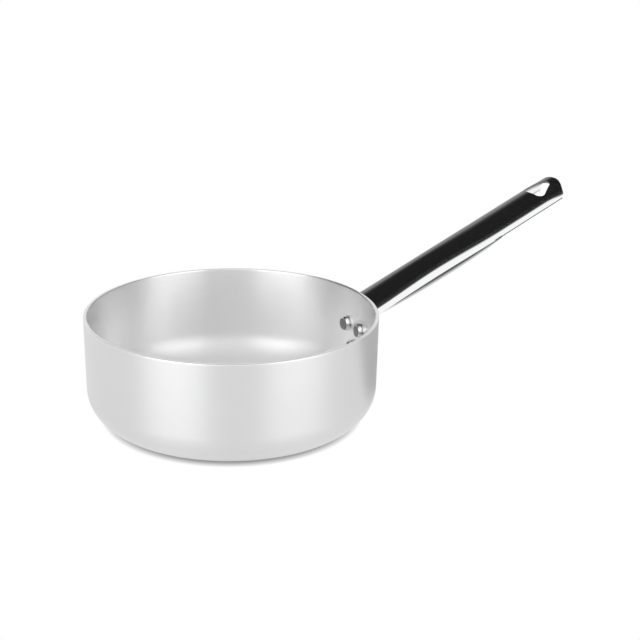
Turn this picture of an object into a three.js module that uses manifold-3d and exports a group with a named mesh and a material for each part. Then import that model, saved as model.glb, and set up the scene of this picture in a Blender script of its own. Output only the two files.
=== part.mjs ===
// Low saucepan: a pressed aluminium pan whose hollow stainless steel handle is held by three rivets.
// Millimetres, +Z up. The origin is the middle of the flat base, and the handle points along +X.

import * as THREE from 'three';
import { mergeVertices } from 'three/addons/utils/BufferGeometryUtils.js';
import Module from 'manifold-3d';

const wasm = await Module();
wasm.setup();

// Pan body
const PAN_INNER_DIAMETER = 240; // across the mouth, the size such a pan is sold by
const PAN_HEIGHT = 90;
const PAN_WALL = 3;
const PAN_FLOOR = 3;
const WALL_LEAN = 0.5; // how far the wall opens out from the base corner up to the rim
const CORNER_RADIUS = 28; // outside, where the base turns up into the wall
const RIM_ROUNDING = 0.7; // both edges of the rim, which keeps a flat land between them

// Handle, measured along its straight crown line from the outside of the wall
const HANDLE_LENGTH = 233;
const HANDLE_WIDTH = 34; // at the root and along the open end
const WAIST_WIDTH = 30; // at the narrowest, where the belly is fullest
const WAIST_RISE = 1; // of the crown there
const HANDLE_SLOPE = THREE.MathUtils.degToRad(22.8);
const CROWN_BELOW_RIM = 9.4; // where the crown line meets the outside of the wall
const SHEET = 1.5;
const SHOULDER_HEIGHT = 9; // the rolled upper edges reach this far down from the crown
const SHOULDER_POWER = 2.7; // 2 would be an ellipse; more is flatter on top and rounder at the edges
const FOLD_DEPTH = 13.9; // fold between side and belly, below the straight crown line
const BELLY_DEPTH = 11.9; // fullest depth of the belly below the fold
const BELLY_LENGTH = 180;

// Open end of the handle, measured back from its tip
const OPENING_LENGTH = 77; // the sides run straight and the underside is open over this length
const OPENING_RUN = 26; // length over which the belly is cut away
const OPEN_SIDE_DEPTH = 14.2; // sides of the open end, below the crown
const TIP_RADIUS = 28; // end of the handle, seen from above
const TIP_CORNER_ROUNDING = 5; // lower corners of the sides at the tip
const HOLE_FROM_TIP = 7.9;
const HOLE_LENGTH = 22.2;
const HOLE_WIDTH = 27.2;
const HOLE_BASE_RADIUS = 5; // the two corners towards the pan
const HOLE_POINT_RADIUS = 7.8; // the corner towards the tip

// Riveting plate under the root of the handle
const PLATE_WIDTH = 40; // across the two upper rivets
const PLATE_DROP = 36.45; // below the underside of the handle
const PLATE_FOOT_WIDTH = 20;
const PLATE_FOOT_ROUNDING = 8;
const PLATE_TOP_ROUNDING = 3;
const BEND_RADIUS = 2; // between the plate and the underside of the handle

// Rivets
const RIVET_SHANK_DIAMETER = 6.5;
const RIVET_HEAD_DIAMETER = 13; // inside the pan
const RIVET_HEAD_HEIGHT = 3;
const RIVET_HEAD_ROUNDING = 1.5;
const RIVET_TAIL_DIAMETER = 10; // closed head on the outside
const RIVET_TAIL_HEIGHT = 2.5;
const RIVET_PITCH = 23; // between the two upper rivets
const RIVET_ROW_DROP = 9.15; // upper rivets below the underside of the handle
const RIVET_ROW_SPACING = 18.8; // upper rivets to the lower one

// Fits
const SEAT_GAP = 0.3; // between pieces that lie on each other
const HOLE_CLEARANCE = 0.3; // round each shank
const MERGE_DISTANCE = 1e-4;

// Fineness of the round faces
const PAN_SEGMENTS = 80;
const RIVET_SEGMENTS = 24;
const CURVE_STEPS = 3;
const SHOULDER_STEPS = 16;
const BELLY_STEPS = 10;
const HANDLE_STATIONS = 28;
const OUTLINE_STEPS = 12;
const HOLE_SEGMENTS = 40;
const PLATE_STEPS = 6;

// Sizes that follow from the ones above
const rimRadius = PAN_INNER_DIAMETER / 2 + PAN_WALL;
const crownHeight = PAN_HEIGHT - CROWN_BELOW_RIM;
const undersideHeight = crownHeight - FOLD_DEPTH / Math.cos(HANDLE_SLOPE);
const upperRivetHeight = undersideHeight - RIVET_ROW_DROP;
const lowerRivetHeight = upperRivetHeight - RIVET_ROW_SPACING;
const plateFootHeight = undersideHeight - PLATE_DROP;
const reach = HANDLE_LENGTH + rimRadius; // longer than any cut needs to be

// Outside radius of the pan's wall at a height
function wallRadius(height) {
  const straight = PAN_HEIGHT - CORNER_RADIUS;
  return rimRadius - WALL_LEAN * (PAN_HEIGHT - height) / straight;
}

// A closed geometry as a solid that can be joined and cut
function solid(geometry) {
  const bare = geometry.clone();
  bare.deleteAttribute('normal');
  bare.deleteAttribute('uv');
  const merged = mergeVertices(bare, MERGE_DISTANCE);
  const index = merged.index.array;
  const triangles = [];
  for (let i = 0; i < index.length; i += 3) {
    const [a, b, c] = [index[i], index[i + 1], index[i + 2]];
    if (a !== b && b !== c && c !== a) {
      triangles.push(a, b, c);
    }
  }
  return new wasm.Manifold(new wasm.Mesh({
    numProp: 3,
    vertProperties: new Float32Array(merged.attributes.position.array),
    triVerts: new Uint32Array(triangles),
  }));
}

// A finished solid as a named piece of the scene
function piece(name, body, material) {
  const { vertProperties, triVerts } = body.getMesh();
  const geometry = new THREE.BufferGeometry();
  geometry.setAttribute('position', new THREE.BufferAttribute(vertProperties, 3));
  geometry.setIndex(new THREE.BufferAttribute(triVerts, 1));
  geometry.computeVertexNormals();
  const mesh = new THREE.Mesh(geometry, material);
  mesh.name = name;
  return mesh;
}

// A solid turned about the pan's axis from a profile of radius and height
function turned(profile, segments) {
  return new THREE.LatheGeometry(profile, segments).rotateX(Math.PI / 2);
}

// The space inside a surface that stands off the outside of the pan's wall
function wallCore(standOff) {
  const top = PAN_HEIGHT + CORNER_RADIUS;
  const bottom = -CORNER_RADIUS;
  return solid(turned([
    new THREE.Vector2(0, bottom),
    new THREE.Vector2(wallRadius(bottom) + standOff, bottom),
    new THREE.Vector2(wallRadius(top) + standOff, top),
    new THREE.Vector2(0, top),
  ], PAN_SEGMENTS));
}

// Profile of the pan: under the base, up the outside, over the rim, down the inside and across the floor
function panProfile() {
  const outerBase = wallRadius(CORNER_RADIUS);
  const innerCorner = CORNER_RADIUS - PAN_WALL;
  const floorCorner = PAN_FLOOR + innerCorner;
  const down = -Math.PI / 2;
  const path = new THREE.Path();
  path.moveTo(0, 0);
  path.lineTo(outerBase - CORNER_RADIUS, 0);
  path.absarc(outerBase - CORNER_RADIUS, CORNER_RADIUS, CORNER_RADIUS, down, 0, false);
  path.lineTo(rimRadius, PAN_HEIGHT - RIM_ROUNDING);
  path.absarc(rimRadius - RIM_ROUNDING, PAN_HEIGHT - RIM_ROUNDING, RIM_ROUNDING, 0, -down, false);
  path.lineTo(rimRadius - PAN_WALL + RIM_ROUNDING, PAN_HEIGHT);
  path.absarc(
    rimRadius - PAN_WALL + RIM_ROUNDING, PAN_HEIGHT - RIM_ROUNDING, RIM_ROUNDING, -down, Math.PI, false,
  );
  path.lineTo(outerBase - PAN_WALL, floorCorner);
  path.absarc(outerBase - CORNER_RADIUS, floorCorner, innerCorner, 0, down, true);
  path.lineTo(0, PAN_FLOOR);
  return path.getPoints(CURVE_STEPS);
}

// Where each rivet stands: its turn about the pan's axis and its height.
// Left and right are as seen along the handle by whoever holds it.
const upperTurn = Math.asin(RIVET_PITCH / 2 / wallRadius(upperRivetHeight));
const rivetPlaces = {
  rivet_upper_left: { turn: -upperTurn, height: upperRivetHeight },
  rivet_upper_right: { turn: upperTurn, height: upperRivetHeight },
  rivet_lower: { turn: 0, height: lowerRivetHeight },
};

// A geometry made along +Y, laid along the radius at a rivet's place
function atRivet(geometry, place) {
  return geometry.rotateZ(place.turn - Math.PI / 2).translate(0, 0, place.height);
}

// The round holes that the shanks pass through, in the wall and in the plate alike
function drilled(body) {
  const holeRadius = RIVET_SHANK_DIAMETER / 2 + HOLE_CLEARANCE;
  return Object.values(rivetPlaces).reduce((rest, place) => {
    const drill = new THREE.CylinderGeometry(holeRadius, holeRadius, rimRadius, RIVET_SEGMENTS);
    return rest.subtract(solid(atRivet(drill.translate(0, rimRadius, 0), place)));
  }, body);
}

// Rivet: a flat round-edged head inside the pan, a shank, and a domed head closed on the plate
function rivet(place) {
  const outside = wallRadius(place.height);
  const headRadius = RIVET_HEAD_DIAMETER / 2;
  const tailRadius = RIVET_TAIL_DIAMETER / 2;
  const shankRadius = RIVET_SHANK_DIAMETER / 2;
  const headSeat = Math.sqrt((outside - PAN_WALL) ** 2 - headRadius ** 2) - SEAT_GAP;
  const tailSeat = outside + SEAT_GAP + SHEET + SEAT_GAP;
  const headTop = headSeat - RIVET_HEAD_HEIGHT;
  const path = new THREE.Path();
  path.moveTo(0, headTop);
  path.lineTo(headRadius - RIVET_HEAD_ROUNDING, headTop);
  path.absarc(
    headRadius - RIVET_HEAD_ROUNDING, headTop + RIVET_HEAD_ROUNDING,
    RIVET_HEAD_ROUNDING, -Math.PI / 2, 0, false,
  );
  path.lineTo(headRadius, headSeat);
  path.lineTo(shankRadius, headSeat);
  path.lineTo(shankRadius, tailSeat);
  path.lineTo(tailRadius, tailSeat);
  path.absellipse(0, tailSeat, tailRadius, RIVET_TAIL_HEIGHT, 0, Math.PI / 2, false);
  return solid(atRivet(new THREE.LatheGeometry(path.getPoints(CURVE_STEPS), RIVET_SEGMENTS), place));
}

// From the handle's own axes (along the crown, across, up from the crown) to the pan's
function onHandle(geometry) {
  return geometry.rotateY(-HANDLE_SLOPE).translate(wallRadius(crownHeight), 0, crownHeight);
}

// Section of the handle at a distance along it, drawn in by an inset.
// It has a rolled top, straight sides and a round belly, which never quite flattens.
function handleSection(along, inset) {
  const closed = THREE.MathUtils.clamp(along / (HANDLE_LENGTH - OPENING_LENGTH), 0, 1);
  const waist = Math.sin(Math.PI * closed) ** 2;
  const crown = WAIST_RISE * waist;
  const half = THREE.MathUtils.lerp(HANDLE_WIDTH, WAIST_WIDTH, waist) / 2;
  const swell = Math.sqrt(Math.sin(Math.PI * THREE.MathUtils.clamp(along / BELLY_LENGTH, 0, 1)));
  const sag = Math.max(BELLY_DEPTH * swell, SHEET / 2);
  const tilt = 2 * Math.atan(sag / half); // of the belly where it leaves the fold
  const halfIn = half - inset;
  const fold = FOLD_DEPTH - inset * Math.tan(Math.PI / 4 - tilt / 2);
  const sagIn = FOLD_DEPTH + sag - inset - fold;
  const shoulder = SHOULDER_HEIGHT - inset;
  const points = [];
  for (let i = 0; i <= SHOULDER_STEPS; i += 1) {
    const angle = Math.PI * i / SHOULDER_STEPS;
    const across = Math.sign(Math.cos(angle)) * Math.abs(Math.cos(angle)) ** (2 / SHOULDER_POWER);
    const up = Math.abs(Math.sin(angle)) ** (2 / SHOULDER_POWER);
    points.push(new THREE.Vector3(along, halfIn * across, crown + shoulder * up - SHOULDER_HEIGHT));
  }
  const halfAngle = 2 * Math.atan(sagIn / halfIn);
  const radius = halfIn / Math.sin(halfAngle);
  for (let i = 0; i <= BELLY_STEPS; i += 1) {
    const angle = halfAngle * (2 * i / BELLY_STEPS - 1);
    const down = fold + sagIn - radius * (1 - Math.cos(angle));
    points.push(new THREE.Vector3(along, radius * Math.sin(angle), -down));
  }
  return points;
}

// A closed skin through rings of as many points each, with a flat cap on either end
function loft(rings) {
  const count = rings[0].length;
  const index = [];
  for (let i = 0; i < rings.length - 1; i += 1) {
    for (let j = 0; j < count; j += 1) {
      const next = (j + 1) % count;
      const [a, b] = [i * count + j, i * count + next];
      index.push(a, b, a + count, b, b + count, a + count);
    }
  }
  const last = (rings.length - 1) * count;
  for (let j = 1; j < count - 1; j += 1) {
    index.push(0, j + 1, j, last, last + j, last + j + 1);
  }
  const geometry = new THREE.BufferGeometry().setFromPoints(rings.flat());
  geometry.setIndex(index);
  return geometry;
}

// The handle's section carried from inside the wall to past the tip, the hollow further than the bar
function handleBar(inset) {
  const overrun = HANDLE_WIDTH + inset;
  const rings = [];
  for (let i = 0; i <= HANDLE_STATIONS; i += 1) {
    const along = THREE.MathUtils.lerp(-overrun, HANDLE_LENGTH + overrun, i / HANDLE_STATIONS);
    rings.push(handleSection(along, inset));
  }
  return solid(onHandle(loft(rings)));
}

// A flat outline pushed out further than any piece is thick
function pushed(shape, curveSegments) {
  return new THREE.ExtrudeGeometry(shape, { depth: reach, bevelEnabled: false, curveSegments });
}

// A flat outline in the handle's plan view, pushed through its whole depth
function throughHandle(shape) {
  return solid(onHandle(pushed(shape, OUTLINE_STEPS).translate(0, 0, -reach / 2)));
}

// Plan of the handle's rounded end; the sides of this outline lie clear of the handle
function tipOutline() {
  const centre = HANDLE_LENGTH - TIP_RADIUS;
  const side = Math.max(TIP_RADIUS, HANDLE_WIDTH / 2);
  const shape = new THREE.Shape();
  shape.moveTo(-rimRadius, -side);
  shape.lineTo(centre, -side);
  shape.lineTo(centre, -TIP_RADIUS);
  shape.absarc(centre, 0, TIP_RADIUS, -Math.PI / 2, Math.PI / 2, false);
  shape.lineTo(centre, side);
  shape.lineTo(-rimRadius, side);
  return shape;
}

// A polygon whose corners are rounded off, each by its own length of side, at most half of that side
function roundedOutline(corners) {
  const shape = new THREE.Shape();
  corners.forEach(({ point, rounding }, i) => {
    const before = corners[(i + corners.length - 1) % corners.length].point;
    const after = corners[(i + 1) % corners.length].point;
    const shortest = Math.min(point.distanceTo(before), point.distanceTo(after));
    const length = Math.min(rounding, shortest / 2 - MERGE_DISTANCE);
    const from = point.clone().add(before.clone().sub(point).setLength(length));
    const to = point.clone().add(after.clone().sub(point).setLength(length));
    if (i === 0) {
      shape.moveTo(from.x, from.y);
    } else {
      shape.lineTo(from.x, from.y);
    }
    shape.quadraticCurveTo(point.x, point.y, to.x, to.y);
  });
  return shape;
}

// A round post through the whole depth of the handle
function post(along, across, radius) {
  const round = new THREE.CylinderGeometry(radius, radius, reach, HOLE_SEGMENTS).rotateX(Math.PI / 2);
  return solid(onHandle(round.translate(along, across, 0)));
}

// Hanging hole: a rounded triangle that points to the tip, stretched round three posts
function hangingHole() {
  const point = HANDLE_LENGTH - HOLE_FROM_TIP;
  const base = point - HOLE_LENGTH;
  const aside = HOLE_WIDTH / 2 - HOLE_BASE_RADIUS;
  return wasm.Manifold.hull([
    post(base + HOLE_BASE_RADIUS, -aside, HOLE_BASE_RADIUS),
    post(base + HOLE_BASE_RADIUS, aside, HOLE_BASE_RADIUS),
    post(point - HOLE_POINT_RADIUS, 0, HOLE_POINT_RADIUS),
  ]);
}

// What is cut away under the open end.
// It rises through the belly in an S, runs along the sides and rounds their corner at the tip.
function undersideCut() {
  const straight = HANDLE_LENGTH - OPENING_LENGTH;
  const start = straight - OPENING_RUN;
  const deep = FOLD_DEPTH + BELLY_DEPTH;
  const sagitta = TIP_RADIUS - Math.sqrt(Math.max(TIP_RADIUS ** 2 - (HANDLE_WIDTH / 2) ** 2, 0));
  const sideEnd = HANDLE_LENGTH - sagitta;
  const cornerTop = TIP_CORNER_ROUNDING - OPEN_SIDE_DEPTH;
  const shape = new THREE.Shape();
  shape.moveTo(start, -reach);
  shape.lineTo(start, -deep);
  shape.bezierCurveTo(
    start + OPENING_RUN / 3, -OPEN_SIDE_DEPTH - BELLY_DEPTH / 3,
    start + OPENING_RUN / 2, -OPEN_SIDE_DEPTH,
    straight, -OPEN_SIDE_DEPTH,
  );
  shape.lineTo(sideEnd - TIP_CORNER_ROUNDING, -OPEN_SIDE_DEPTH);
  shape.quadraticCurveTo(sideEnd, -OPEN_SIDE_DEPTH, sideEnd, cornerTop);
  shape.lineTo(HANDLE_LENGTH + reach, cornerTop);
  shape.lineTo(HANDLE_LENGTH + reach, -reach);
  const cut = pushed(shape, OUTLINE_STEPS).translate(0, 0, -reach / 2);
  return solid(onHandle(cut.rotateX(Math.PI / 2)));
}

// Room between the straight sides of the open end, down through what is left of the belly
function openChannel() {
  const straight = HANDLE_LENGTH - OPENING_LENGTH;
  const length = OPENING_LENGTH + HANDLE_WIDTH;
  const room = new THREE.BoxGeometry(length, HANDLE_WIDTH - 2 * SHEET, reach);
  return solid(onHandle(room.translate(straight + length / 2, 0, -SHOULDER_HEIGHT - reach / 2)));
}

// Shield-shaped plate bent to the wall, from the underside of the handle down past the lower rivet
function rivetPlate() {
  const top = undersideHeight + SHEET;
  const half = PLATE_WIDTH / 2;
  const foot = PLATE_FOOT_WIDTH / 2;
  const shield = roundedOutline([
    { point: new THREE.Vector2(half, top), rounding: PLATE_TOP_ROUNDING },
    { point: new THREE.Vector2(-half, top), rounding: PLATE_TOP_ROUNDING },
    { point: new THREE.Vector2(-half, upperRivetHeight), rounding: PLATE_FOOT_ROUNDING },
    { point: new THREE.Vector2(-foot, plateFootHeight), rounding: PLATE_FOOT_ROUNDING },
    { point: new THREE.Vector2(foot, plateFootHeight), rounding: PLATE_FOOT_ROUNDING },
    { point: new THREE.Vector2(half, upperRivetHeight), rounding: PLATE_FOOT_ROUNDING },
  ]);
  const blank = pushed(shield, PLATE_STEPS).rotateX(Math.PI / 2).rotateZ(Math.PI / 2);
  return wallCore(SEAT_GAP + SHEET).intersect(solid(blank));
}

// Round inside of the bend between the plate and the underside of the handle, as wide as the underside
function bendFillet() {
  const face = wallRadius(undersideHeight) + SEAT_GAP + SHEET;
  const corner = undersideHeight + (SEAT_GAP + SHEET) * Math.tan(HANDLE_SLOPE);
  const legOut = BEND_RADIUS * Math.cos(HANDLE_SLOPE);
  const legUp = BEND_RADIUS * Math.sin(HANDLE_SLOPE);
  const path = new THREE.Path();
  path.moveTo(face - SHEET, corner + SHEET);
  path.lineTo(face - SHEET, corner - BEND_RADIUS);
  path.lineTo(face, corner - BEND_RADIUS);
  path.quadraticCurveTo(face, corner, face + legOut, corner + legUp);
  path.lineTo(face + legOut, corner + legUp + SHEET);
  path.closePath();
  const underside = HANDLE_WIDTH - 2 * SHEET;
  const slab = new THREE.BoxGeometry(reach, underside, reach).translate(reach / 2, 0, 0);
  return solid(turned(path.getPoints(CURVE_STEPS), PAN_SEGMENTS)).intersect(solid(slab));
}

function panBody() {
  return drilled(solid(turned(panProfile(), PAN_SEGMENTS)));
}

function handle() {
  const sheet = handleBar(0).add(rivetPlate()).add(bendFillet()).subtract(handleBar(SHEET));
  const opened = sheet.subtract(undersideCut()).subtract(openChannel());
  const pierced = opened.intersect(throughHandle(tipOutline())).subtract(hangingHole());
  return drilled(pierced.subtract(wallCore(SEAT_GAP)));
}

const satinAluminium = new THREE.MeshStandardMaterial({ color: 0xd4d6d8, roughness: 0.42, metalness: 1 });
const polishedSteel = new THREE.MeshStandardMaterial({ color: 0xc9cbce, roughness: 0.08, metalness: 1 });

const saucepan = new THREE.Group();
saucepan.name = 'low_saucepan';
saucepan.add(piece('pan_body', panBody(), satinAluminium));
saucepan.add(piece('handle', handle(), polishedSteel));
for (const [name, place] of Object.entries(rivetPlaces)) {
  saucepan.add(piece(name, rivet(place), polishedSteel.clone()));
}

export default saucepan;
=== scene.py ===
# %% [markdown]
# A low saucepan in satin aluminium and polished steel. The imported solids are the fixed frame: they give
# every size and place, and this lesson makes the surfaces that the eye sees. Each piece of the real pan
# is modelled again, finely, and then stands in for its solid.

# %% Load the frame
import math
from contextlib import contextmanager

import bmesh
import bpy
from mathutils import Matrix, Vector


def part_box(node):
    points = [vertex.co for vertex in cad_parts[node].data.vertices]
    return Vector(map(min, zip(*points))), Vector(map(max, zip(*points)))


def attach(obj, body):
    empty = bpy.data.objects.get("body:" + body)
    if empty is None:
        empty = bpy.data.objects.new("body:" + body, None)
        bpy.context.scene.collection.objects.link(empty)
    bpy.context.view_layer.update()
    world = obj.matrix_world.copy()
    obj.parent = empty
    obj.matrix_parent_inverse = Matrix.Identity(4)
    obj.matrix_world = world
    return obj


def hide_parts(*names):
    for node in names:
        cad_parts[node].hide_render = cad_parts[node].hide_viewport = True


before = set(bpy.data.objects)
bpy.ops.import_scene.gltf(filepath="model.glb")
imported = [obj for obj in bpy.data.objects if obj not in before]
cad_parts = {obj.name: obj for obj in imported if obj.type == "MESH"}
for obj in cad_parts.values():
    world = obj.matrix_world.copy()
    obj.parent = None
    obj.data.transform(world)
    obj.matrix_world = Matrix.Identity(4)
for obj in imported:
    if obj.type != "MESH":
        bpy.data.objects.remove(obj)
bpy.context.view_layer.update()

print("frame holds", sorted(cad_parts))

# %% [markdown]
# The sizes below are those of the real pan, in millimetres turned to metres. What the frame can tell is
# read from it: the rim, the height and the heights of the rivets.

# %% Sizes of the pan
MM = 0.001
FINE = 1e-6
NEAR = 10 * FINE

pan_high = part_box("pan_body")[1]
RIM_RADIUS = pan_high.y
PAN_HEIGHT = pan_high.z
PAN_WALL = 3 * MM
WALL_LEAN = 0.5 * MM
CORNER_RADIUS = 28 * MM
RIM_ROUNDING = 0.7 * MM
SEAT_GAP = 0.3 * MM
SHEET = 1.5 * MM


def wall_radius(height):
    """Outside radius of the pan's wall at a height."""
    return RIM_RADIUS - WALL_LEAN * (PAN_HEIGHT - height) / (PAN_HEIGHT - CORNER_RADIUS)


print(f"rim {2 * RIM_RADIUS / MM:.0f} mm across, {PAN_HEIGHT / MM:.0f} mm high")

# %% [markdown]
# By hand, a piece is edited by selecting some of it and pulling, spinning or scaling that. These few
# helpers do the same: one enters edit mode, one selects by place, one pulls out new edges, one adds a
# modifier and applies it.

# %% Helpers for modelling
def only(piece):
    """Selects one piece and nothing else."""
    bpy.ops.object.select_all(action="DESELECT")
    piece.select_set(True)
    bpy.context.view_layer.objects.active = piece


def settled(piece):
    """Puts a piece's place, turn and size into its mesh, so that the piece itself lies at the origin."""
    only(piece)
    bpy.ops.object.transform_apply(location=True, rotation=True, scale=True)
    return piece


def added(name):
    """Names the piece that an operator has just made, and settles it."""
    piece = bpy.context.object
    piece.name = piece.data.name = name
    return settled(piece)


@contextmanager
def editing(piece):
    """Edit mode on one piece."""
    only(piece)
    bpy.ops.object.mode_set(mode="EDIT")
    bpy.ops.mesh.select_mode(type="VERT")
    yield
    bpy.ops.object.mode_set(mode="OBJECT")


def pick(piece, kind, test):
    """Selects the vertices, edges or faces that pass a test, and nothing else."""
    bpy.ops.mesh.select_mode(type=kind)
    bpy.ops.mesh.select_all(action="DESELECT")
    mesh = bmesh.from_edit_mesh(piece.data)
    elements = {"VERT": mesh.verts, "EDGE": mesh.edges, "FACE": mesh.faces}[kind]
    for element in elements:
        if test(element):
            element.select_set(True)
    mesh.select_flush_mode()
    bmesh.update_edit_mesh(piece.data)


def pull(x=0.0, y=0.0, z=0.0):
    """Extrudes what is selected and moves the new end."""
    bpy.ops.mesh.extrude_region_move(TRANSFORM_OT_translate={"value": (x, y, z)})


def stretch(x=1.0, y=1.0, z=1.0, about=(0, 0, 0)):
    """Scales what is selected about a point."""
    bpy.ops.transform.resize(value=(x, y, z), center_override=about)


def finished(piece, kind, **settings):
    """Adds a modifier with its settings, and applies it."""
    only(piece)
    bpy.ops.object.modifier_add(type=kind)
    modifier = piece.modifiers[-1]
    for setting, value in settings.items():
        setattr(modifier, setting, value)
    bpy.ops.object.modifier_apply(modifier=modifier.name)


def combined(piece, tool, operation="DIFFERENCE"):
    """Cuts a piece with a tool, or joins the two, and throws the tool away."""
    finished(piece, "BOOLEAN", operation=operation, object=tool, solver="EXACT")
    bpy.data.objects.remove(tool)


def smoothed(piece, degrees):
    """Smooth shading, with a crease wherever faces meet at more than an angle."""
    only(piece)
    bpy.ops.object.shade_smooth_by_angle(angle=math.radians(degrees))


def in_mm(piece):
    """The piece's three sizes in millimetres, to print."""
    return [round(size / MM, 2) for size in piece.dimensions]


def with_slots(piece, count):
    """Gives a piece empty slots for its finishes."""
    only(piece)
    for _ in range(count):
        bpy.ops.object.material_slot_add()
    return piece


# %% [markdown]
# The camera stands where the photographer's stood: left of the handle, a little above the rim, with a
# long lens.

# %% Camera
CAMERA_PLACE = Vector((-429.15, -883.79, 428.68)) * MM
CAMERA_AIM = Vector((85.22, 0.0, 68.39)) * MM
CAMERA_ROLL = math.radians(1.106)
CAMERA_LENS = 69.63

bpy.ops.object.camera_add(location=CAMERA_PLACE)
camera = bpy.context.object
camera.data.lens = CAMERA_LENS
look = (CAMERA_AIM - CAMERA_PLACE).to_track_quat("-Z", "Y").to_matrix()
camera.rotation_euler = (look @ Matrix.Rotation(CAMERA_ROLL, 3, "Z")).to_euler()
bpy.context.scene.camera = camera
print(f"camera {(CAMERA_AIM - CAMERA_PLACE).length:.2f} m from its aim")

# %% [markdown]
# The pan body is pressed from one disc and spun true. The same is done here: half of its outline is drawn
# by pulling and spinning one point, the outline is spun about the pan's axis, and Solidify gives it the
# wall.

# %% Pan body
FLOOR_RINGS = 14
CORNER_STEPS = 20
WALL_RINGS = 30
PAN_STEPS = 256
OUTSIDE, INSIDE, EDGE = range(3)


def last_of(piece, place):
    """Selects the one vertex at a place."""
    pick(piece, "VERT", lambda vertex: (vertex.co - Vector(place)).length < FINE)


def pan_outline():
    """The outside of the pan from the middle of its base to its rim, as a line in the XZ plane."""
    flat = wall_radius(CORNER_RADIUS) - CORNER_RADIUS
    bpy.ops.mesh.primitive_plane_add(size=MM)
    pan = added("saucepan_body")
    with editing(pan):
        bpy.ops.mesh.merge(type="CENTER")
        pull(x=flat)
        bpy.ops.mesh.select_all(action="SELECT")
        bpy.ops.mesh.subdivide(number_cuts=FLOOR_RINGS)
        last_of(pan, (flat, 0, 0))
        bpy.ops.mesh.spin(
            steps=CORNER_STEPS, angle=math.pi / 2, center=(flat, 0, CORNER_RADIUS), axis=(0, 1, 0),
        )
        pull(x=WALL_LEAN, z=PAN_HEIGHT - CORNER_RADIUS)
        pick(pan, "EDGE", lambda edge: min(v.co.z for v in edge.verts) > CORNER_RADIUS - FINE)
        bpy.ops.mesh.subdivide(number_cuts=WALL_RINGS)
    return pan


def pan_body():
    """The outline spun round to a shell and thickened inwards, with slots for three finishes."""
    pan = with_slots(pan_outline(), 3)
    with editing(pan):
        bpy.ops.mesh.select_all(action="SELECT")
        bpy.ops.mesh.spin(steps=PAN_STEPS, angle=2 * math.pi, center=(0, 0, 0), axis=(0, 0, 1))
        bpy.ops.mesh.select_all(action="SELECT")
        bpy.ops.mesh.remove_doubles(threshold=FINE)
        bpy.ops.mesh.normals_make_consistent(inside=False)
    finished(
        pan, "SOLIDIFY", thickness=PAN_WALL, offset=-1, use_even_offset=True, material_offset=INSIDE,
    )
    return pan


pan = pan_body()
print("pan body", len(pan.data.polygons), "faces", in_mm(pan))

# %% [markdown]
# The rim is turned flat and its two edges are broken with a file, which gives the thin light line round
# the mouth. Only the two long loops of edges are bevelled, so the test asks for edges that stay on one
# circle.

# %% Rim
RIM_STEPS = 4
CREASE = 40


def on_rim(edge):
    """True for the edges that run round the rim, outside and inside."""
    ends = [vertex.co for vertex in edge.verts]
    level = all(end.z > PAN_HEIGHT - FINE for end in ends)
    return level and abs(ends[0].xy.length - ends[1].xy.length) < FINE


with editing(pan):
    pick(pan, "EDGE", on_rim)
    bpy.ops.mesh.bevel(offset=RIM_ROUNDING, segments=RIM_STEPS, affect="EDGES")
for face in pan.data.polygons:
    if face.center.z > PAN_HEIGHT - RIM_ROUNDING - FINE:
        face.material_index = EDGE
print("rim bevelled,", len(pan.data.polygons), "faces")

# %% [markdown]
# Three rivets hold the handle: two side by side and one below. One is modelled from a short cylinder: its
# edge is rounded for the head, the other face is drawn in for the shank and spread again for the closed
# head. Each of the three is a copy of it with a mesh of its own, set out to where the wall is at its
# height.

# %% Rivets
HEAD_RADIUS = 6.5 * MM
HEAD_HEIGHT = 3 * MM
HEAD_ROUNDING = 1.5 * MM
SHANK_RADIUS = 3.25 * MM
TAIL_RADIUS = 5 * MM
TAIL_HEIGHT = 2.5 * MM
RIVET_PITCH = 23 * MM
RIVET_STEPS = 96
ROUND_STEPS = 8
FLAT = 0.99
BURNISHED, PAINTED_SHADE_FACE = range(2)

rivet_heights = {
    name: sum(corner.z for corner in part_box(name)) / 2 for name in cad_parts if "rivet" in name
}
upper_turn = math.asin(RIVET_PITCH / 2 / wall_radius(rivet_heights["rivet_upper_left"]))
rivet_turns = {"rivet_upper_left": -upper_turn, "rivet_upper_right": upper_turn, "rivet_lower": 0.0}


def at_rivet(piece, name, out=0.0):
    """Lays a piece made along +Z along the radius at a rivet's place, moved out by a distance."""
    turn = rivet_turns[name]
    piece.rotation_euler = (0, math.pi / 2, turn)
    piece.location = (out * math.cos(turn), out * math.sin(turn), rivet_heights[name])
    settled(piece)


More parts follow.
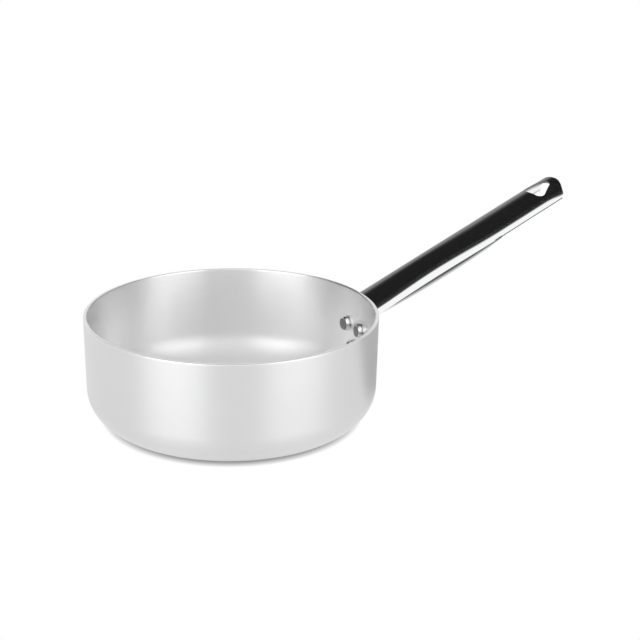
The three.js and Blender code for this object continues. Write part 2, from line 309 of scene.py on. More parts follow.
def rivet_blank(outside):
    """A rivet along +Z, with the pan's axis at the origin and the wall's outside at a radius."""
    seat = math.sqrt((outside - PAN_WALL) ** 2 - HEAD_RADIUS ** 2) - SEAT_GAP
    tail = outside + SEAT_GAP + SHEET + SEAT_GAP
    bpy.ops.mesh.primitive_cylinder_add(
        vertices=RIVET_STEPS, radius=HEAD_RADIUS, depth=HEAD_HEIGHT,
        location=(0, 0, seat - HEAD_HEIGHT / 2),
    )
    blank = added("rivet_blank")
    with editing(blank):
        pick(blank, "EDGE", lambda edge: all(v.co.z < seat - HEAD_HEIGHT / 2 for v in edge.verts))
        bpy.ops.mesh.bevel(offset=HEAD_ROUNDING, segments=ROUND_STEPS, affect="EDGES")
        pick(blank, "FACE", lambda face: face.normal.z > 0.9)
        bpy.ops.mesh.inset(thickness=HEAD_RADIUS - SHANK_RADIUS)
        pull(z=tail - seat)
        pull()
        stretch(TAIL_RADIUS / SHANK_RADIUS, TAIL_RADIUS / SHANK_RADIUS, about=(0, 0, tail))
        for step in range(ROUND_STEPS):
            low, high = (math.radians(90) * (step + share) / (ROUND_STEPS + 0.5) for share in (0, 1))
            pull(z=TAIL_HEIGHT * (math.sin(high) - math.sin(low)))
            narrower = math.cos(high) / math.cos(low)
            stretch(narrower, narrower)
    # The head's flat face gets a slot of its own, coloured dark as painted shade.
    for face in with_slots(blank, 2).data.polygons:
        face.material_index = PAINTED_SHADE_FACE if face.normal.z < -FLAT else BURNISHED
    return blank


outside = wall_radius(rivet_heights["rivet_upper_left"])
blank = rivet_blank(outside)
rivets = {}
for name in rivet_turns:
    only(blank)
    bpy.ops.object.duplicate()
    rivets[name] = bpy.context.object
    rivets[name].name = rivets[name].data.name = f"{name}_polished"
    at_rivet(rivets[name], name, wall_radius(rivet_heights[name]) - outside)
    smoothed(rivets[name], CREASE)
bpy.data.objects.remove(blank)
print("rivets", [len(rivet.data.polygons) for rivet in rivets.values()])

# %% [markdown]
# The wall is drilled where the rivets go, a little wider than their shanks. The handle's plate gets the
# same holes later, so one helper drills both.

# %% Holes for the rivets
DRILL_REACH = 30 * MM


def drilled(piece):
    """Drills the three rivet holes through a piece."""
    for name in rivet_turns:
        bpy.ops.mesh.primitive_cylinder_add(
            vertices=RIVET_STEPS, radius=SHANK_RADIUS + SEAT_GAP, depth=DRILL_REACH,
            location=(0, 0, RIM_RADIUS),
        )
        drill = added("drill")
        at_rivet(drill, name)
        combined(piece, drill)


drilled(pan)
smoothed(pan, CREASE)
print("pan drilled,", len(pan.data.polygons), "faces")

# %% [markdown]
# The handle is one strip of stainless steel. Its top is rolled over, its sides run straight down to a
# narrow ridge where the strip is folded under, and a round belly closes it below. A box gives that
# section: two long bevels roll the top, two edges pulled down make the sides and the ridge, and one of
# them spun round to the other makes the belly. Cross cuts then let each station be narrowed, raised and
# filled on its own, as the press does it.

# %% Handle: shape along its length
HANDLE_LENGTH = 233 * MM
HANDLE_WIDTH = 34 * MM
WAIST_WIDTH = 30 * MM
WAIST_RISE = 1 * MM
SHOULDER_HEIGHT = 9 * MM
SHOULDER_POWER = 2.7
FOLD_DEPTH = 13.9 * MM
BELLY_DEPTH = 11.9 * MM
BELLY_LENGTH = 180 * MM
OPEN_FROM = 156 * MM
OPEN_BELLY = 17 * MM
RIDGE = 0.5 * MM
RIDGE_EDGE = 0.2 * MM
RIDGE_FROM = 138 * MM
RIDGE_RUN = 12 * MM
ROLLED_FOLD = 0.35
SIDE_HOLD = 0.4 * MM
TIP_ROLL = 3.2 * MM
TIP_ROLL_FROM = 205 * MM
TIP_ROLL_RUN = 18 * MM
HANDLE_OVERRUN = 20 * MM
SHOULDER_STEPS = 26
BELLY_STEPS = 32
STATIONS = 66


def share(value):
    """A value kept between 0 and 1."""
    return min(max(value, 0.0), 1.0)


def waist_at(along):
    """How far the handle is at its waist: 0 at both ends of the closed part, 1 in its middle."""
    return math.sin(math.pi * share(along / OPEN_FROM)) ** 2


def sag_at(along):
    """Depth of the belly, which drops out of the way where the underside is open."""
    swell = math.sqrt(math.sin(math.pi * share(along / BELLY_LENGTH)))
    closed = max(BELLY_DEPTH * swell, SHEET / 2)
    return closed + (OPEN_BELLY - closed) * share((along - OPEN_FROM) / HANDLE_OVERRUN)


def ridge_at(along):
    """How far the ridge stands out: fully on the open sides, rolled in a little on the closed part."""
    return (1 + ROLLED_FOLD) * share((along - RIDGE_FROM) / RIDGE_RUN) - ROLLED_FOLD


def tip_roll_at(along):
    """How much further down the shoulders are rolled: the section grows rounder towards the tip."""
    return TIP_ROLL * share((along - TIP_ROLL_FROM) / TIP_ROLL_RUN) ** 2


def long_edge(edge):
    """True for the edges that run along the handle."""
    return abs(edge.verts[0].co.x - edge.verts[1].co.x) > FINE


def bar_section(name, inset, ridge):
    """The handle's section pushed out straight and open at both ends, drawn in by an inset."""
    half = HANDLE_WIDTH / 2 - inset
    fold = FOLD_DEPTH - inset
    length = HANDLE_LENGTH + 2 * (HANDLE_OVERRUN + inset)
    bpy.ops.mesh.primitive_cube_add(
        size=1, location=(HANDLE_LENGTH / 2, 0, -half / 2), scale=(length, 2 * half, half),
    )
    bar = added(name)
    with editing(bar):
        pick(bar, "FACE", lambda face: abs(face.normal.x) > 0.9 or face.normal.z < -0.9)
        bpy.ops.mesh.delete(type="FACE")
        pick(bar, "EDGE", lambda edge: long_edge(edge) and edge.verts[0].co.z > -FINE)
        bpy.ops.mesh.bevel(
            offset=half - NEAR, segments=SHOULDER_STEPS, profile=2 ** (-2 / SHOULDER_POWER),
            affect="EDGES",
        )
        bpy.ops.mesh.select_all(action="SELECT")
        bpy.ops.mesh.remove_doubles(threshold=30 * FINE)
        stretch(z=(SHOULDER_HEIGHT - inset) / half)
        bpy.ops.transform.translate(value=(0, 0, -inset))
        pick(bar, "EDGE", lambda edge: (
            long_edge(edge) and edge.verts[0].co.z < NEAR - SHOULDER_HEIGHT
        ))
        if ridge:
            pull(z=SHOULDER_HEIGHT + ridge + RIDGE_EDGE + SIDE_HOLD - fold)
            pull(z=-SIDE_HOLD)
            pull(z=-ridge)
            stretch(y=(half + ridge) / half)
            pull(z=-RIDGE_EDGE)
        else:
            pull(z=SHOULDER_HEIGHT - fold)
        pick(bar, "EDGE", lambda edge: long_edge(edge) and all(
            v.co.y < 0 and v.co.z < NEAR - fold for v in edge.verts
        ))
        chord = half + ridge
        radius = (chord ** 2 + BELLY_DEPTH ** 2) / (2 * BELLY_DEPTH)
        bpy.ops.mesh.spin(
            steps=BELLY_STEPS, angle=2 * math.asin(chord / radius),
            center=(0, 0, radius - BELLY_DEPTH - fold), axis=(-1, 0, 0),
        )
        bpy.ops.mesh.select_all(action="SELECT")
        bpy.ops.mesh.remove_doubles(threshold=NEAR)
        pick(bar, "EDGE", long_edge)
        bpy.ops.mesh.subdivide(number_cuts=STATIONS)
        bpy.ops.mesh.select_all(action="SELECT")
        bpy.ops.mesh.fill_holes(sides=0)
        bpy.ops.mesh.normals_make_consistent(inside=False)
    return bar


def at_station(along):
    """A test for the vertices of the cross cut at a place along the handle."""
    return lambda vertex: abs(vertex.co.x - along) < NEAR


def handle_bar(name, inset=0.0, ridge=0.0):
    """The handle's section with its waist, crown and belly, drawn in by an inset."""
    bar = bar_section(name, inset, ridge)
    half = HANDLE_WIDTH / 2 - inset
    fold = FOLD_DEPTH - inset
    start = -HANDLE_OVERRUN - inset
    spacing = (HANDLE_LENGTH - 2 * start) / (STATIONS + 1)
    with editing(bar):
        for station in range(STATIONS + 2):
            along = start + station * spacing
            waist = waist_at(along)
            width = HANDLE_WIDTH + (WAIST_WIDTH - HANDLE_WIDTH) * waist
            here = at_station(along)
            pick(bar, "VERT", lambda vertex: (
                here(vertex) and vertex.co.z < RIDGE_EDGE + NEAR - fold
            ))
            stretch(y=(half + ridge * ridge_at(along)) / (half + ridge))
            pick(bar, "VERT", here)
            stretch(y=(width / 2 - inset) / half)
            pick(bar, "VERT", lambda vertex: (
                here(vertex) and vertex.co.z > -SHOULDER_HEIGHT - NEAR
            ))
            bpy.ops.transform.translate(value=(0, 0, WAIST_RISE * waist))
            stretch(z=1 + tip_roll_at(along) / SHOULDER_HEIGHT)
            pick(bar, "VERT", lambda vertex: here(vertex) and vertex.co.z < NEAR - fold)
            stretch(z=sag_at(along) / BELLY_DEPTH, about=(0, 0, -fold))
    return bar


def slotted(piece, finish):
    """Gives a piece slots for the handle's three finishes, and all its faces one of them."""
    for face in with_slots(piece, 3).data.polygons:
        face.material_index = finish
    return piece


handle = slotted(handle_bar("saucepan_handle", ridge=RIDGE), OUTSIDE)
combined(handle, slotted(handle_bar("hollow", inset=SHEET), INSIDE))
print("handle tube", len(handle.data.polygons), "faces", in_mm(handle))

# %% [markdown]
# At the far end the belly is cut away, so that the handle is an open channel there. The cut rises through
# the belly in a sweep and then runs along the sides. The end is rounded in plan, and a rounded triangle
# is punched out of the top to hang the pan by.

# %% Handle: open end, tip and hanging hole
OPEN_SIDE_DEPTH = 14.2 * MM
OPEN_CORNER = 143 * MM
OPEN_RISE = math.radians(38.4)
OPEN_ROUNDING = 13 * MM
TIP_RADIUS = 28 * MM
TIP_CORNER_ROUNDING = 5 * MM
HOLE_FROM_TIP = 7.9 * MM
HOLE_LENGTH = 22.2 * MM
HOLE_WIDTH = 27.2 * MM
HOLE_BASE_RADIUS = 5 * MM
HOLE_POINT_RADIUS = 7.8 * MM
CUT_REACH = 80 * MM
TIP_STEPS = 256
HOLE_STEPS = 96
CUT_STEPS = 24


def box(name, low, high):
    """A box between two corners."""
    low, high = Vector(low), Vector(high)
    bpy.ops.mesh.primitive_cube_add(size=1, location=(low + high) / 2, scale=high - low)
    return added(name)


def underside_cut():
    """What is taken off below: a block with a slanted front, rounded where it turns along the sides."""
    foot = OPEN_CORNER - CUT_REACH / math.tan(OPEN_RISE)
    cut = box(
        "underside_cut", (foot, -CUT_REACH, -OPEN_SIDE_DEPTH - CUT_REACH),
        (HANDLE_LENGTH + CUT_REACH, CUT_REACH, -OPEN_SIDE_DEPTH),
    )
    with editing(cut):
        pick(cut, "EDGE", lambda edge: all(
            v.co.x < foot + FINE and v.co.z > -OPEN_SIDE_DEPTH - FINE for v in edge.verts
        ))
        bpy.ops.transform.translate(value=(OPEN_CORNER - foot, 0, 0))
        bpy.ops.mesh.bevel(offset=OPEN_ROUNDING, segments=CUT_STEPS, affect="EDGES")
    return cut


def corner_cut():
    """What is taken off the lower corners of the sides at the tip, to leave them round."""
    sagitta = TIP_RADIUS - math.sqrt(TIP_RADIUS ** 2 - (HANDLE_WIDTH / 2) ** 2)
    corner = (HANDLE_LENGTH - sagitta - TIP_CORNER_ROUNDING, -OPEN_SIDE_DEPTH + TIP_CORNER_ROUNDING)
    cut = box(
        "corner_cut", (corner[0], -CUT_REACH, corner[1] - 2 * TIP_CORNER_ROUNDING),
        (HANDLE_LENGTH + CUT_REACH, CUT_REACH, corner[1]),
    )
    bpy.ops.mesh.primitive_cylinder_add(
        vertices=HOLE_STEPS, radius=TIP_CORNER_ROUNDING, depth=4 * CUT_REACH,
        rotation=(math.pi / 2, 0, 0), location=(corner[0], 0, corner[1]),
    )
    combined(cut, added("rounding"))
    return cut


def tip_outline():
    """What is kept at the tip: a cylinder whose back half is moved to behind the root."""
    centre = HANDLE_LENGTH - TIP_RADIUS
    bpy.ops.mesh.primitive_cylinder_add(
        vertices=TIP_STEPS, radius=TIP_RADIUS, depth=2 * CUT_REACH, location=(centre, 0, 0),
    )
    tip = added("tip_outline")
    with editing(tip):
        pick(tip, "VERT", lambda vertex: vertex.co.x < centre - FINE)
        bpy.ops.transform.translate(value=(-HANDLE_LENGTH, 0, 0))
    return tip


def post(along, across, radius):
    """Adds a round post that stands through the handle."""
    bpy.ops.mesh.primitive_cylinder_add(
        vertices=HOLE_STEPS, radius=radius, depth=2 * CUT_REACH, location=(along, across, 0),
    )


def hanging_hole():
    """A rounded triangle, stretched round three posts."""
    point = HANDLE_LENGTH - HOLE_FROM_TIP
    base = point - HOLE_LENGTH + HOLE_BASE_RADIUS
    aside = HOLE_WIDTH / 2 - HOLE_BASE_RADIUS
    post(point - HOLE_POINT_RADIUS, 0, HOLE_POINT_RADIUS)
    hole = added("hanging_hole")
    with editing(hole):
        post(base, aside, HOLE_BASE_RADIUS)
        post(base, -aside, HOLE_BASE_RADIUS)
        bpy.ops.mesh.select_all(action="SELECT")
        bpy.ops.mesh.convex_hull()
    return hole


combined(handle, slotted(underside_cut(), EDGE))
combined(handle, slotted(corner_cut(), EDGE))
combined(handle, slotted(tip_outline(), EDGE), "INTERSECT")
combined(handle, slotted(hanging_hole(), EDGE))
print("handle cut", len(handle.data.polygons), "faces", in_mm(handle))

# %% [markdown]
# Now the handle is leant to its slope and set against the wall. A shield-shaped plate, bent from the same
# strip, lies on the wall below it and takes the rivets. It is a block trimmed to the wall's round on both
# faces.

# %% Handle: set on the wall, with its riveting plate
HANDLE_SLOPE = math.radians(22.8)
CROWN_BELOW_RIM = 9.4 * MM
PLATE_WIDTH = 40 * MM
PLATE_FOOT_WIDTH = 20 * MM
PLATE_DROP = 36.45 * MM
PLATE_FOOT_ROUNDING = 8 * MM
PLATE_TOP_ROUNDING = 3 * MM
HANDLE_CREASE = 30

crown_height = PAN_HEIGHT - CROWN_BELOW_RIM
underside_height = crown_height - FOLD_DEPTH / math.cos(HANDLE_SLOPE)

handle.rotation_euler = (0, -HANDLE_SLOPE, 0)
handle.location = (wall_radius(crown_height), 0, crown_height)
settled(handle)


def wall_core(stand_off):
    """The space inside a surface that stands off the outside of the wall."""
    low, high = -CORNER_RADIUS, PAN_HEIGHT + CORNER_RADIUS
    bpy.ops.mesh.primitive_cone_add(
        vertices=PAN_STEPS, depth=high - low, location=(0, 0, (low + high) / 2),
        radius1=wall_radius(low) + stand_off, radius2=wall_radius(high) + stand_off,
    )
    return added("wall_core")


def rivet_plate():
    """The plate: straight down to the upper rivets, tapered to its foot, and trimmed to the wall outside."""
    top = underside_height + SHEET
    middle = rivet_heights["rivet_upper_left"]
    foot = underside_height - PLATE_DROP
    plate = box("plate", (0, -PLATE_WIDTH / 2, middle), (RIM_RADIUS + CUT_REACH, PLATE_WIDTH / 2, top))
    with editing(plate):
        pick(plate, "FACE", lambda face: face.normal.z < -0.9)
        pull(z=foot - middle)
        stretch(y=PLATE_FOOT_WIDTH / PLATE_WIDTH)
        pick(plate, "EDGE", lambda edge: long_edge(edge) and edge.verts[0].co.z < middle + FINE)
        bpy.ops.mesh.bevel(offset=PLATE_FOOT_ROUNDING, segments=ROUND_STEPS, affect="EDGES")
        pick(plate, "EDGE", lambda edge: long_edge(edge) and edge.verts[0].co.z > top - FINE)
        bpy.ops.mesh.bevel(offset=PLATE_TOP_ROUNDING, segments=ROUND_STEPS, affect="EDGES")
    combined(plate, wall_core(SEAT_GAP + SHEET), "INTERSECT")
    return plate


combined(handle, rivet_plate(), "UNION")
combined(handle, wall_core(SEAT_GAP))
drilled(handle)
smoothed(handle, HANDLE_CREASE)
print("handle", len(handle.data.polygons), "faces", in_mm(handle))

# %% [markdown]
# The finishes are painted with a few nodes each. Colours are written as they look on a screen and turned
# to the linear values that light works with; one helper adds a node, sets it and joins it to the others.

# %% Helpers for finishes
DARKEST_AT = 0.3
LIGHTEST_AT = 0.7


def linear(code):
    """A colour code such as #RRGGBB as linear red, green and blue, with full opacity."""
    channels = [int(code[start:start + 2], 16) / 255 for start in (1, 3, 5)]
    return (*(c / 12.92 if c <= 0.04045 else ((c + 0.055) / 1.055) ** 2.4 for c in channels), 1.0)


def node(tree, kind, inputs=None, **settings):
    """Adds a node with its settings, and gives its inputs values or other nodes' outputs."""
    made = tree.nodes.new(f"ShaderNode{kind}")
    for setting, value in settings.items():
        setattr(made, setting, value)
    for socket, value in (inputs or {}).items():
        if isinstance(value, bpy.types.NodeSocket):
            tree.links.new(value, made.inputs[socket])
        else:
            made.inputs[socket].default_value = value
    return made


def blank_tree(name):
    """A new material with an empty node tree, and that tree."""
    material = bpy.data.materials.new(name)
    material.use_nodes = True
    material.node_tree.nodes.clear()
    return material, material.node_tree


def metal(name, inputs):
    """A metal whose shader takes what a function of its node tree gives."""
    material, tree = blank_tree(name)
    shader = node(tree, "BsdfPrincipled", {"Metallic": 1.0, **inputs(tree)})
    node(tree, "OutputMaterial", {"Surface": shader.outputs[0]})
    return material


def shade_range(tree, value, colour, depth):
    """A colour that a pattern darkens by up to a share of it."""
    full = linear(colour)
    ramp = node(tree, "ValToRGB", {"Fac": value})
    dark, light = ramp.color_ramp.elements
    dark.position, light.position = DARKEST_AT, LIGHTEST_AT
    dark.color = (*(channel * (1 - depth) for channel in full[:3]), 1.0)
    light.color = full
    return ramp.outputs[0]


# %% [markdown]
# The pan was turned on a lathe, so its satin is made of fine circular lines. They run round the axis at
# each radius on the floor and at each height on the wall. Real ones are about 0.2 mm apart; here they are
# 1.4 mm, which a picture can still show, and so are the clouds of 40 mm and the 2.5 mm nicks in the rim.
# The lines draw the light out across them into upright bands. Low down on the inside the finish is duller
# from use.

# %% Satin aluminium
LINE_SCALE = 0.7 / MM
LINE_DEPTH = 0.02 * MM
LINE_STRENGTH = 0.3
CLOUD_SCALE = 0.025 / MM
SATIN_SHADE = 0.03
DRAWN_OUT = 0.75
ACROSS_THE_LINES = 0.25
NICK_SCALE = 0.4 / MM
NICK_SHADE = 0.05


def turned_aluminium(name, colour, smoothest, roughest, dulling):
    """Turned aluminium: soft upright bands of light, broken by faint circular lines."""
    def inputs(tree):
        place = node(tree, "TexCoord")
        parts = node(tree, "SeparateXYZ", {"Vector": place.outputs["Object"]})
        squares = [
            node(tree, "Math", {0: parts.outputs[axis], 1: parts.outputs[axis]}, operation="MULTIPLY")
            for axis in ("X", "Y")
        ]
        square = node(tree, "Math", {0: squares[0].outputs[0], 1: squares[1].outputs[0]}, operation="ADD")
        radius = node(tree, "Math", {0: square.outputs[0]}, operation="SQRT")
        along = node(tree, "Math", {0: radius.outputs[0], 1: parts.outputs["Z"]}, operation="ADD")
        lines = node(tree, "TexNoise", {
            "W": along.outputs[0], "Scale": LINE_SCALE, "Detail": 3.0,
        }, noise_dimensions="1D")
        clouds = node(tree, "TexNoise", {
            "Vector": place.outputs["Object"], "Scale": CLOUD_SCALE, "Detail": 2.0,
        })
        mixed = node(tree, "Math", {0: lines.outputs[0], 1: clouds.outputs[0]}, operation="ADD")
        pattern = node(tree, "Math", {0: mixed.outputs[0], 1: 0.5}, operation="MULTIPLY")
        satin = node(tree, "MapRange", {"Value": lines.outputs[0], "To Min": smoothest, "To Max": roughest})
        worn = node(tree, "MapRange", {
            "Value": parts.outputs["Z"], "From Min": CORNER_RADIUS, "From Max": CORNER_RADIUS / 3,
            "To Max": dulling,
        })
        roughness = node(tree, "Math", {0: satin.outputs[0], 1: worn.outputs[0]}, operation="ADD")
        tangent = node(tree, "Tangent", direction_type="RADIAL", axis="Z")
        grooves = node(tree, "Bump", {
            "Height": lines.outputs[0], "Distance": LINE_DEPTH, "Strength": LINE_STRENGTH,
        })
        return {
            "Base Color": shade_range(tree, pattern.outputs[0], colour, SATIN_SHADE),
            "Roughness": roughness.outputs[0], "Anisotropic": DRAWN_OUT,
            "Anisotropic Rotation": ACROSS_THE_LINES, "Tangent": tangent.outputs[0],
            "Normal": grooves.outputs[0],
        }
    return metal(name, inputs)


def grained(tree, place, scale, detail, colour, shade, smoothest, roughest):
    """Colour and roughness that follow one noise pattern."""
    grain = node(tree, "TexNoise", {"Vector": place, "Scale": scale, "Detail": detail})
    roughness = node(tree, "MapRange", {
        "Value": grain.outputs[0], "To Min": smoothest, "To Max": roughest,
    })
    return {
        "Base Color": shade_range(tree, grain.outputs[0], colour, shade),
        "Roughness": roughness.outputs[0],
    }


def filed_aluminium(name, colour, smoothest, roughest):
    """The rim, filed smooth: a pale line round the mouth, with small nicks in it."""
    def inputs(tree):
        place = node(tree, "TexCoord").outputs["Object"]
        return grained(tree, place, NICK_SCALE, 2.0, colour, NICK_SHADE, smoothest, roughest)
    return metal(name, inputs)


# Outside and inside are one aluminium. The outside's darker colour paints shade on it, and the inside's paler
# colour paints light into the hollow; the inside is also a little smoother.
pan.data.materials[OUTSIDE] = turned_aluminium("outside_aluminium_painted_darker", "#D9D9DA", 0.38, 0.46, 0.0)
pan.data.materials[INSIDE] = turned_aluminium("inside_aluminium_painted_paler", "#FAFAFA", 0.34, 0.42, 0.16)
pan.data.materials[EDGE] = filed_aluminium("filed_aluminium_rim", "#E3E3E4", 0.25, 0.45)
print("pan in", [finish.name for finish in pan.data.materials])

# %% [markdown]
# The handle was polished along its length on a belt, so its mirror is broken only by the finest long
# lines, drawn here 1.1 mm apart, which is coarser than real ones. Its inside kept the mill's finish, and
# the cut edges are torn dull. A rivet is bright round its edge, where the press burnished it; its flat face
# is given a dark colour, which paints shade on it.

# %% Polished, sheared and struck steel
POLISH_ACROSS = 0.9 / MM
POLISH_ALONG = 0.015 / MM
POLISH_SHADE = 0.015
GRAIN_SCALE = 0.8 / MM
GRAIN_SHADE = 0.12


def polished_steel(name, colour, smoothest, roughest):
    """Stainless steel polished along the handle: it shows the studio almost undimmed."""
    def inputs(tree):
        place = node(tree, "TexCoord")
        level = node(tree, "Mapping", {
            "Vector": place.outputs["Object"], "Rotation": (0, HANDLE_SLOPE, 0),
        })
        drawn = node(tree, "Mapping", {
            "Vector": level.outputs[0], "Scale": (POLISH_ALONG, POLISH_ACROSS, POLISH_ACROSS),
        })
        return grained(tree, drawn.outputs[0], 1.0, 2.0, colour, POLISH_SHADE, smoothest, roughest)
    return metal(name, inputs)


def dull_steel(name, colour, smoothest, roughest):
    """Dull steel with a grain of a millimetre or two: the torn cut edges, and the rivets' faces painted dark
    as shade.
    """
    def inputs(tree):
        place = node(tree, "TexCoord").outputs["Object"]
        return grained(tree, place, GRAIN_SCALE, 3.0, colour, GRAIN_SHADE, smoothest, roughest)
    return metal(name, inputs)


handle.data.materials[OUTSIDE] = polished_steel("polished_stainless_steel", "#F7F8F8", 0.045, 0.075)
handle.data.materials[INSIDE] = polished_steel("mill_stainless_steel", "#F5F5F6", 0.1, 0.14)
handle.data.materials[EDGE] = dull_steel("sheared_steel_edge", "#8E8F91", 0.35, 0.55)
burnished = polished_steel("burnished_rivet_steel", "#F0F0F1", 0.06, 0.09)
# The rivet's flat face: a dark colour that paints shade on it.
shaded_face = dull_steel("rivet_face_painted_shade", "#808184", 0.2, 0.3)
for rivet in rivets.values():
    rivet.data.materials[BURNISHED] = burnished
    rivet.data.materials[PAINTED_SHADE_FACE] = shaded_face
print("handle and rivets in", [finish.name for finish in (*handle.data.materials, burnished, shaded_face)])

# %% [markdown]
# The pan stands on a white table in a white room. The table glows just white by itself, so that it needs
# no more light on the pan, and a painted shadow darkens it only where the pan comes close to it. From below
# it is clear.

# %% Floor
FLOOR_SIZE = 30.0
CONTACT_REACH = 5 * MM
CONTACT_SOFTNESS = 0.5
CONTACT_SAMPLES = 16


def pale_floor():
    """White table: it gives the pan a white ground to mirror and paints the dark line of its shadow."""
    material, tree = blank_tree("pale_floor")
    shade = node(tree, "AmbientOcclusion", {"Distance": CONTACT_REACH}, samples=CONTACT_SAMPLES)
    soft = node(tree, "Math", {0: shade.outputs["AO"], 1: CONTACT_SOFTNESS}, operation="POWER")
    glow = node(tree, "Emission", {"Strength": soft.outputs[0]})
    clear = node(tree, "BsdfTransparent")
    side = node(tree, "NewGeometry")
    seen = node(tree, "MixShader", {0: side.outputs["Backfacing"], 1: glow.outputs[0], 2: clear.outputs[0]})
    node(tree, "OutputMaterial", {"Surface": seen.outputs[0]})
    return material


bpy.ops.mesh.primitive_plane_add(size=FLOOR_SIZE)
floor = added("floor")
floor.data.materials.append(pale_floor())
print("floor", FLOOR_SIZE, "m wide")

# %% [markdown]
# The room is white up to head height, as white as the table, and its ceiling is a little darker, as one
# without lamps is. The metal mirrors the same white that the camera sees.

# %% Room
WALL_TOP = math.sin(math.radians(40))
CEILING_FROM = math.sin(math.radians(75))
CEILING_LEVEL = 0.72

room = bpy.data.worlds.new("white_room")
bpy.context.scene.world = room
room.use_nodes = True
room.node_tree.nodes.clear()
bearing = node(room.node_tree, "TexCoord")
rise = node(room.node_tree, "SeparateXYZ", {"Vector": bearing.outputs["Generated"]})
dimming = node(room.node_tree, "MapRange", {
    "Value": rise.outputs["Z"], "From Min": WALL_TOP, "From Max": CEILING_FROM,
    "To Min": 1.0, "To Max": CEILING_LEVEL,
}, interpolation_type="SMOOTHSTEP")
walls = node(room.node_tree, "Background", {"Color": linear("#FFFFFF"), "Strength": dimming.outputs[0]})
node(room.node_tree, "OutputWorld", {"Surface": walls.outputs[0]})
print("room dims to", CEILING_LEVEL, "overhead")

# %% [markdown]
# Two broad softboxes stand on either side of the camera, just above the table. They draw the soft upright
# bands on the wall: the left one to the left outside and to the right inside, and the right one the other
# way round.

# %% Softboxes
TO_CAMERA = Vector((-0.437, -0.9, 0)).normalized()
BOX_DISTANCE = 1.2
BOX_LIFT = 0.47
BOX_WIDTH = 0.95
BOX_HEIGHT = 0.74


def softbox(name, degrees, radiance):
    """A softbox that stands at a turn from the camera and faces the pan."""
    way = Matrix.Rotation(math.radians(degrees), 3, "Z") @ TO_CAMERA
    bpy.ops.object.light_add(type="AREA", location=way * BOX_DISTANCE + Vector((0, 0, BOX_LIFT)))
    lamp = bpy.context.object
    lamp.name = lamp.data.name = name
    lamp.data.shape = "RECTANGLE"
    lamp.data.size = BOX_WIDTH
    lamp.data.size_y = BOX_HEIGHT
    lamp.data.energy = math.pi * BOX_WIDTH * BOX_HEIGHT * radiance
    lamp.visible_camera = False
    lamp.rotation_euler = (-way).to_track_quat("-Z", "Y").to_euler()


softbox("left_softbox", -42, 2.5)
softbox("right_softbox", 46, 1.95)
print("two softboxes", BOX_DISTANCE, "m from the pan")

# %% [markdown]
# Metal looks like what stands round it, so the rest is painted into its mirror with glowing cards.
# They show in the metal only: they are hidden from the camera and throw no shadow. A grey glowing card on
# the table paints shade on the right edge of the wall. Dim glowing flags stand far off on both sides
# behind the pan. Only a ray that crosses the mouth is long enough to meet them, so they paint shade on the
# ends of the wall inside and nothing else.

# %% Floor card and dark flags, painting shade in the metal
FLOOR_CARD_LEVEL = 0.52
FLOOR_CARD_CORNERS = ((0.14, -0.085, 0.006), (0.9, 0.4, 0.007))
FLAG_RADIUS = 1.2
FLAG_LEVEL = 0.02
FLAG_OPENINGS = (
    (-180, 1.0), (-164, 1.0), (-152, 0.0), (-92, 0.0), (-74, 1.0),
    (74, 1.0), (92, 0.0), (152, 0.0), (164, 1.0), (180, 1.0),
)


def staged_card(card, material):
    """Gives a card its glowing paint and sets it apart from the pan: only the metal's mirror sees it, as a
    painted reflection.
    """
    card.data.materials.append(material)
    card.visible_camera = False
    card.visible_diffuse = False
    card.visible_shadow = False


def shaded(tree, sideways, forward, tones):
    """Levels from a list of turns in degrees, read at the turn from forward to sideways."""
    turn = node(tree, "Math", {0: sideways, 1: forward}, operation="ARCTAN2")
    way = node(tree, "MapRange", {"Value": turn.outputs[0], "From Min": -math.pi, "From Max": math.pi})
    shades = node(tree, "ValToRGB", {"Fac": way.outputs[0]})
    marks = shades.color_ramp.elements
    while len(marks) < len(tones):
        marks.new(0.5)
    for mark, (degrees, level) in zip(marks, tones):
        mark.position = degrees / 360 + 0.5
        mark.color = (level, level, level, 1.0)
    return shades.outputs[0]


def ray_test(tree, length, operation):
    """1 for rays that are longer or shorter than a length, and 0 for the others."""
    path = node(tree, "LightPath")
    return node(tree, "Math", {0: path.outputs["Ray Length"], 1: length}, operation=operation).outputs[0]


def glowing(tree, clearness, **glow_inputs):
    """Ends a tree with a glow that a value makes clear."""
    glow = node(tree, "Emission", glow_inputs)
    clear = node(tree, "BsdfTransparent")
    seen = node(tree, "MixShader", {0: clearness, 1: glow.outputs[0], 2: clear.outputs[0]})
    node(tree, "OutputMaterial", {"Surface": seen.outputs[0]})


def painted_shade_card(name):
    """A grey glowing card that lies on the table between two corners; it paints shade into the wall's
    reflection.
    """
    material, tree = blank_tree(name)
    glowing(tree, 0.0, Strength=FLOOR_CARD_LEVEL)
    staged_card(box(name, *FLOOR_CARD_CORNERS), material)


def painted_shade_flags(name):
    """Dim glowing flags on a sphere round the mouth, with openings in front and behind; they paint shade on
    the ends of the wall inside.
    """
    bpy.ops.mesh.primitive_uv_sphere_add(
        segments=64, ring_count=32, radius=FLAG_RADIUS, location=(0, 0, PAN_HEIGHT),
    )
    flags = bpy.context.object
    flags.name = flags.data.name = name
    flags.rotation_euler = (0, 0, math.atan2(TO_CAMERA.y, TO_CAMERA.x))
    material, tree = blank_tree(name)
    place = node(tree, "TexCoord")
    parts = node(tree, "SeparateXYZ", {"Vector": place.outputs["Object"]})
    opening = shaded(tree, parts.outputs["Y"], parts.outputs["X"], FLAG_OPENINGS)
    near = ray_test(tree, FLAG_RADIUS, "LESS_THAN")
    clearness = node(tree, "Math", {0: near, 1: opening}, operation="MAXIMUM")
    glowing(tree, clearness.outputs[0], Strength=FLAG_LEVEL)
    staged_card(flags, material)


painted_shade_card("painted_shade_card")
painted_shade_flags("painted_shade_flags")
print("floor card and dark flags")
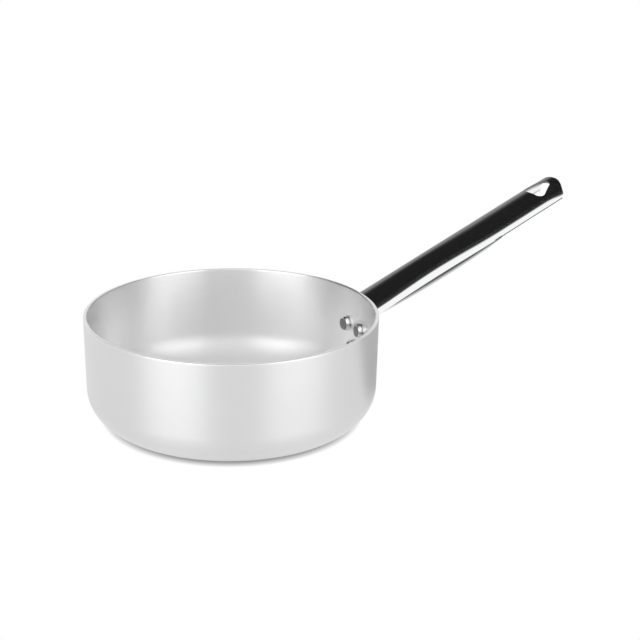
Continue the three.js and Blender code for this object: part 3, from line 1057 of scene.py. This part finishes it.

# %% [markdown]
# The handle's mirror needs the most care, and its reflection is painted with glowing cards. A card is bent
# over it, grey at the far edge, black over the crown and then quickly white on the near side, and another
# under its belly goes from dark to white; these tones are the painted reflection on its top, sides and
# belly. Turns are counted the same way round for both: from straight up towards the camera, and from
# straight down away from it. Beyond its reach a card is clear, so that the pan hardly sees it.

# %% Cards round the handle, painting its reflection
CARD_STEPS = 360
OVER_TONES = (
    (-112, 0.4), (-92, 0.34), (-80, 0.26), (-70, 0.2), (-65, 0.12), (-60.5, 0.035), (-57.5, 0.014),
    (75, 0.013), (95, 0.018), (105, 0.035), (110, 0.07), (114, 0.17), (117, 0.42), (119, 0.72), (120.5, 0.95),
)
UNDER_TONES = (
    (-36, 0.06), (-19, 0.09), (-13, 0.18), (-6, 0.4), (3, 0.6), (16, 0.72), (33, 0.88), (44, 1.0),
)


def painted_reflection_tones(name, tones, side, reach):
    """Glowing tones shaded round the handle, a painted reflection. It shows only in what is close to it."""
    material, tree = blank_tree(name)
    place = node(tree, "TexCoord")
    parts = node(tree, "SeparateXYZ", {"Vector": place.outputs["Object"]})
    near, high = (
        node(tree, "Math", {0: parts.outputs[axis], 1: sign}, operation="MULTIPLY").outputs[0]
        for axis, sign in (("Y", -side), ("Z", side))
    )
    glowing(tree, ray_test(tree, reach, "GREATER_THAN"), Color=shaded(tree, near, high, tones))
    return material


def bent_card(name, tones, side, radius, reach, start, end):
    """A glowing card bent round the handle to paint its reflection, clear of the rim: over it with side 1,
    under it with side -1.
    """
    length = end - start
    bpy.ops.mesh.primitive_cylinder_add(
        vertices=CARD_STEPS, radius=radius, depth=length, end_fill_type="NOTHING",
        rotation=(0, math.pi / 2, 0), location=(start + length / 2, 0, 0),
    )
    card = added(name)

    def outside_tones(face):
        middle = face.calc_center_median()
        turn = math.degrees(math.atan2(-side * middle.y, side * middle.z))
        return not tones[0][0] < turn < tones[-1][0]

    with editing(card):
        pick(card, "FACE", outside_tones)
        bpy.ops.mesh.delete(type="FACE")
    card.rotation_euler = (0, -HANDLE_SLOPE, 0)
    card.location = (wall_radius(crown_height), 0, crown_height)
    staged_card(card, painted_reflection_tones(name, tones, side, reach))


# These two cards paint the reflection on the handle's top, sides and belly.
bent_card(
    "painted_reflection_over", OVER_TONES, side=1, radius=0.12, reach=0.15, start=0.035, end=HANDLE_LENGTH + 0.1,
)
bent_card(
    "painted_reflection_under", UNDER_TONES, side=-1, radius=0.07, reach=0.1, start=0.02, end=OPEN_FROM + 0.02,
)
print("two cards round the handle")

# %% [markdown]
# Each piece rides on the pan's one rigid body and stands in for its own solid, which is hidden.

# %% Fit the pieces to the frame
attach(pan, "root")
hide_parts("pan_body")
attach(handle, "root")
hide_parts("handle")
for name, rivet in rivets.items():
    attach(rivet, "root")
    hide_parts(name)
print("pieces fitted:", 2 + len(rivets))

# %% [markdown]
# Last, colours are shown as they are written.

# %% Finish
bpy.context.scene.view_settings.view_transform = "Standard"
